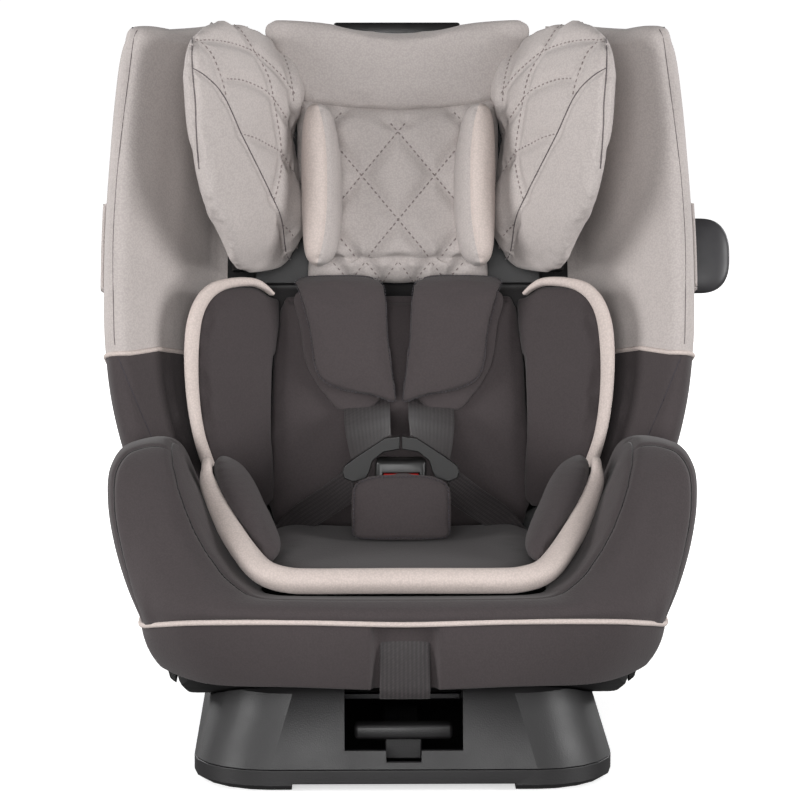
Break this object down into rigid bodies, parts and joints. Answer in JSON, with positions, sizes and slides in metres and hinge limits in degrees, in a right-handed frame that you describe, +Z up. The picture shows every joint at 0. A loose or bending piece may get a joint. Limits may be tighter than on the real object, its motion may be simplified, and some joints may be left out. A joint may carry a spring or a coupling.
{
  "type": "convertible car seat",
  "caption": "Padded child car seat whose bucket reclines on a moulded base, with a sliding winged headrest, a five-point harness and fold-out side pods.",
  "frame": {"origin": "middle of the base's underside, on the surface the seat stands on", "axes": "+Z up, -Y the way the child faces, +X to the right as seen from in front of the seat"},
  "size_m": [0.516, 0.4577, 0.5857],
  "materials": {
    "plastic": "satin",
    "rubber": "matte",
    "steel": "satin",
    "charcoal_fabric": "matte",
    "grey_fabric": "matte",
    "webbing": "matte",
    "red_plastic": "satin"
  },
  "bodies": {
    "base": {"base_tray": "plastic", "base_cover": "plastic", "foot_strip_left": "rubber", "foot_strip_right": "rubber"},
    "handle": {"recline_handle": "plastic"},
    "headrest": {"belt_guide_left": "plastic", "belt_guide_right": "plastic", "head_bolster_left": "grey_fabric", "head_bolster_right": "grey_fabric", "headrest_centre_pad": "grey_fabric", "headrest_plate": "plastic", "headrest_top_pad": "grey_fabric", "headrest_wing_left": "grey_fabric", "headrest_wing_right": "grey_fabric", "shoulder_pad_left": "charcoal_fabric", "shoulder_pad_right": "charcoal_fabric"},
    "lever": {"headrest_lever": "plastic"},
    "pod_left": {"side_pod_left": "plastic"},
    "pod_right": {"side_pod_right": "plastic"},
    "buckle_button": {"buckle_button": "red_plastic"},
    "adjuster_button": {"adjuster_button": "red_plastic"},
    "seat": {"adjuster_housing": "plastic", "adjuster_strap": "webbing", "back_cushion": "charcoal_fabric", "back_wing_lower_left": "charcoal_fabric", "back_wing_lower_right": "charcoal_fabric", "back_wing_upper_left": "grey_fabric", "back_wing_upper_right": "grey_fabric", "belt_hook_left": "plastic", "belt_hook_right": "plastic", "buckle_body": "plastic", "crotch_pad": "charcoal_fabric", "crotch_strap": "webbing", "front_apron": "charcoal_fabric", "harness_pull_strap": "webbing", "harness_tongue_left": "plastic", "harness_tongue_right": "plastic", "harness_yoke": "steel", "headrest_rod_left": "steel", "headrest_rod_right": "steel", "insert_back": "charcoal_fabric", "insert_seat": "charcoal_fabric", "insert_thigh_left": "charcoal_fabric", "insert_thigh_right": "charcoal_fabric", "insert_torso_left": "charcoal_fabric", "insert_torso_right": "charcoal_fabric", "keel_bolt_front": "steel", "keel_bolt_rear": "steel", "lap_strap_left": "webbing", "lap_strap_right": "webbing", "pod_housing_left": "plastic", "pod_housing_right": "plastic", "rear_cover": "plastic", "recline_keel": "plastic", "seat_bolster_left": "charcoal_fabric", "seat_bolster_right": "charcoal_fabric", "seat_cushion": "charcoal_fabric", "seat_shell": "plastic", "shoulder_strap_left": "webbing", "shoulder_strap_right": "webbing"}
  },
  "joints": [
    {"name": "recline", "type": "hinge", "parent": "base", "child": "seat", "pos_m": [0, -0.02, 0.5], "axis": [-1, 0, 0], "range_deg": [0, 14]},
    {"name": "recline_handle", "type": "slide", "parent": "base", "child": "handle", "axis": [0, -1, 0], "range_m": [0, 0.012], "stiffness_N_per_m": 500, "springref_m": -0.004},
    {"name": "headrest_height", "type": "slide", "parent": "seat", "child": "headrest", "axis": [0, 0.2419, 0.9703], "range_m": [0, 0.15]},
    {"name": "headrest_lever", "type": "slide", "parent": "headrest", "child": "lever", "axis": [0, 0.2419, 0.9703], "range_m": [0, 0.008], "stiffness_N_per_m": 800, "springref_m": -0.002},
    {"name": "pod_left", "type": "hinge", "parent": "seat", "child": "pod_left", "pos_m": [-0.231, 0.10237, 0.38156], "axis": [0, -0.2419, -0.9703], "range_deg": [0, 88]},
    {"name": "pod_right", "type": "hinge", "parent": "seat", "child": "pod_right", "pos_m": [0.231, 0.10237, 0.38156], "axis": [0, 0.2419, 0.9703], "range_deg": [-88, 0]},
    {"name": "buckle_button", "type": "slide", "parent": "seat", "child": "buckle_button", "axis": [0, 1, 0], "range_m": [0, 0.0035], "stiffness_N_per_m": 3000, "springref_m": -0.001},
    {"name": "adjuster_button", "type": "slide", "parent": "seat", "child": "adjuster_button", "axis": [0, 0, -1], "range_m": [0, 0.004], "stiffness_N_per_m": 1500, "springref_m": -0.001}
  ]
}
